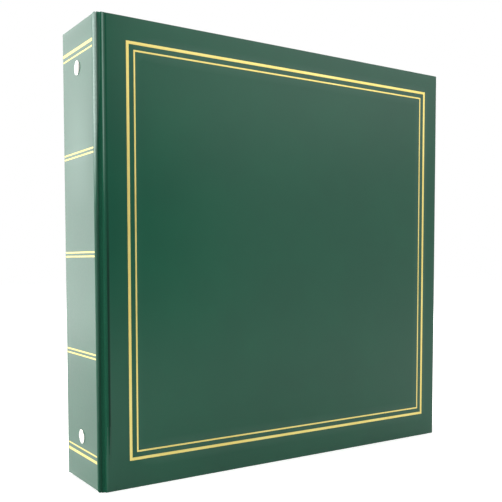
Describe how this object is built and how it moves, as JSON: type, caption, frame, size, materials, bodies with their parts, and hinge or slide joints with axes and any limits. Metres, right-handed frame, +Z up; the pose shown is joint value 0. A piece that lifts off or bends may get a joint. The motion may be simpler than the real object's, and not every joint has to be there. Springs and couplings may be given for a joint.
{
  "type": "stamp album",
  "caption": "Square ring-bound stamp album: leatherette case with gold rule frame and spine bands, hinged covers, riveted ring metal and stock leaves with clear strips.",
  "frame": {"origin": "bottom centre of the closed album", "axes": "+X from the spine to the fore edge, -Y the front cover, +Z up along the spine"},
  "size_m": [0.3024, 0.0544, 0.3],
  "materials": {
    "leatherette": "smooth grained, semi-gloss",
    "grey_board": "raw",
    "liner_paper": "matt",
    "gold_foil": "hot-pressed foil",
    "nickel_plate": "bright nickel plate",
    "leaf_card": "matt",
    "clear_strip": "clear film"
  },
  "bodies": {
    "spine": {"spine_board": "grey_board", "spine_skin": "leatherette", "spine_liner": "liner_paper", "spine_foil_bands": "gold_foil", "ring_housing": "nickel_plate", "upper_rivet": "nickel_plate", "lower_rivet": "nickel_plate", "upper_mounting_post": "nickel_plate", "lower_mounting_post": "nickel_plate", "upper_lever_pin": "nickel_plate", "lower_lever_pin": "nickel_plate"},
    "front_cover": {"front_board": "grey_board", "front_skin": "leatherette", "front_liner": "liner_paper", "front_foil_frame": "gold_foil", "front_hinge_cloth": "leatherette"},
    "back_cover": {"back_board": "grey_board", "back_skin": "leatherette", "back_liner": "liner_paper", "back_hinge_cloth": "leatherette"},
    "front_ring_half": {"front_blade": "nickel_plate", "front_half_rings": "nickel_plate"},
    "back_ring_half": {"back_blade": "nickel_plate", "back_half_rings": "nickel_plate"},
    "upper_lever": {"upper_lever": "nickel_plate"},
    "lower_lever": {"lower_lever": "nickel_plate"},
    "front_leaf_1": {"front_leaf_1_card": "leaf_card", "front_leaf_1_strips": "clear_strip"},
    "front_leaf_2": {"front_leaf_2_card": "leaf_card", "front_leaf_2_strips": "clear_strip"},
    "front_leaf_3": {"front_leaf_3_card": "leaf_card", "front_leaf_3_strips": "clear_strip"},
    "front_leaf_4": {"front_leaf_4_card": "leaf_card", "front_leaf_4_strips": "clear_strip"},
    "back_leaf_1": {"back_leaf_1_card": "leaf_card", "back_leaf_1_strips": "clear_strip"},
    "back_leaf_2": {"back_leaf_2_card": "leaf_card", "back_leaf_2_strips": "clear_strip"},
    "back_leaf_3": {"back_leaf_3_card": "leaf_card", "back_leaf_3_strips": "clear_strip"},
    "back_leaf_4": {"back_leaf_4_card": "leaf_card", "back_leaf_4_strips": "clear_strip"}
  },
  "joints": [
    {"name": "front_cover_hinge", "type": "hinge", "parent": "spine", "child": "front_cover", "pos_m": [-0.14865, -0.02575, 0.15], "axis": [0, 0, -1], "range_deg": [0, 100]},
    {"name": "back_cover_hinge", "type": "hinge", "parent": "spine", "child": "back_cover", "pos_m": [-0.14865, 0.02575, 0.15], "axis": [0, 0, 1], "range_deg": [0, 100]},
    {"name": "front_ring_half_pivot", "type": "hinge", "parent": "spine", "child": "front_ring_half", "pos_m": [-0.14416, -0.0084, 0.1512], "axis": [0, 0, -1], "range_deg": [0, 12]},
    {"name": "back_ring_half_pivot", "type": "hinge", "parent": "spine", "child": "back_ring_half", "pos_m": [-0.14416, 0.0084, 0.1512], "axis": [0, 0, 1], "range_deg": [0, 12]},
    {"name": "upper_lever_pivot", "type": "hinge", "parent": "spine", "child": "upper_lever", "pos_m": [-0.1446, 0, 0.2852], "axis": [0, -1, 0], "range_deg": [0, 30]},
    {"name": "lower_lever_pivot", "type": "hinge", "parent": "spine", "child": "lower_lever", "pos_m": [-0.1446, 0, 0.0172], "axis": [0, 1, 0], "range_deg": [0, 30]},
    {"name": "front_leaf_1_turn", "type": "hinge", "parent": "spine", "child": "front_leaf_1", "pos_m": [-0.12853, 0, 0.1512], "axis": [0, 0, -1], "range_deg": [0, 60]},
    {"name": "front_leaf_2_turn", "type": "hinge", "parent": "spine", "child": "front_leaf_2", "pos_m": [-0.12853, 0, 0.1512], "axis": [0, 0, -1], "range_deg": [0, 70]},
    {"name": "front_leaf_3_turn", "type": "hinge", "parent": "spine", "child": "front_leaf_3", "pos_m": [-0.12853, 0, 0.1512], "axis": [0, 0, -1], "range_deg": [0, 80]},
    {"name": "front_leaf_4_turn", "type": "hinge", "parent": "spine", "child": "front_leaf_4", "pos_m": [-0.12853, 0, 0.1512], "axis": [0, 0, -1], "range_deg": [0, 90]},
    {"name": "back_leaf_1_turn", "type": "hinge", "parent": "spine", "child": "back_leaf_1", "pos_m": [-0.12853, 0, 0.1512], "axis": [0, 0, 1], "range_deg": [0, 60]},
    {"name": "back_leaf_2_turn", "type": "hinge", "parent": "spine", "child": "back_leaf_2", "pos_m": [-0.12853, 0, 0.1512], "axis": [0, 0, 1], "range_deg": [0, 70]},
    {"name": "back_leaf_3_turn", "type": "hinge", "parent": "spine", "child": "back_leaf_3", "pos_m": [-0.12853, 0, 0.1512], "axis": [0, 0, 1], "range_deg": [0, 80]},
    {"name": "back_leaf_4_turn", "type": "hinge", "parent": "spine", "child": "back_leaf_4", "pos_m": [-0.12853, 0, 0.1512], "axis": [0, 0, 1], "range_deg": [0, 90]}
  ],
  "couplings": [
    {"joint": "back_ring_half_pivot", "follows": "front_ring_half_pivot", "ratio": 1},
    {"joint": "upper_lever_pivot", "follows": "front_ring_half_pivot", "ratio": 2.5},
    {"joint": "lower_lever_pivot", "follows": "front_ring_half_pivot", "ratio": 2.5},
    {"joint": "front_leaf_1_turn", "follows": "front_cover_hinge", "ratio": 0.6},
    {"joint": "front_leaf_2_turn", "follows": "front_cover_hinge", "ratio": 0.7},
    {"joint": "front_leaf_3_turn", "follows": "front_cover_hinge", "ratio": 0.8},
    {"joint": "front_leaf_4_turn", "follows": "front_cover_hinge", "ratio": 0.9},
    {"joint": "back_leaf_1_turn", "follows": "back_cover_hinge", "ratio": 0.6},
    {"joint": "back_leaf_2_turn", "follows": "back_cover_hinge", "ratio": 0.7},
    {"joint": "back_leaf_3_turn", "follows": "back_cover_hinge", "ratio": 0.8},
    {"joint": "back_leaf_4_turn", "follows": "back_cover_hinge", "ratio": 0.9}
  ]
}
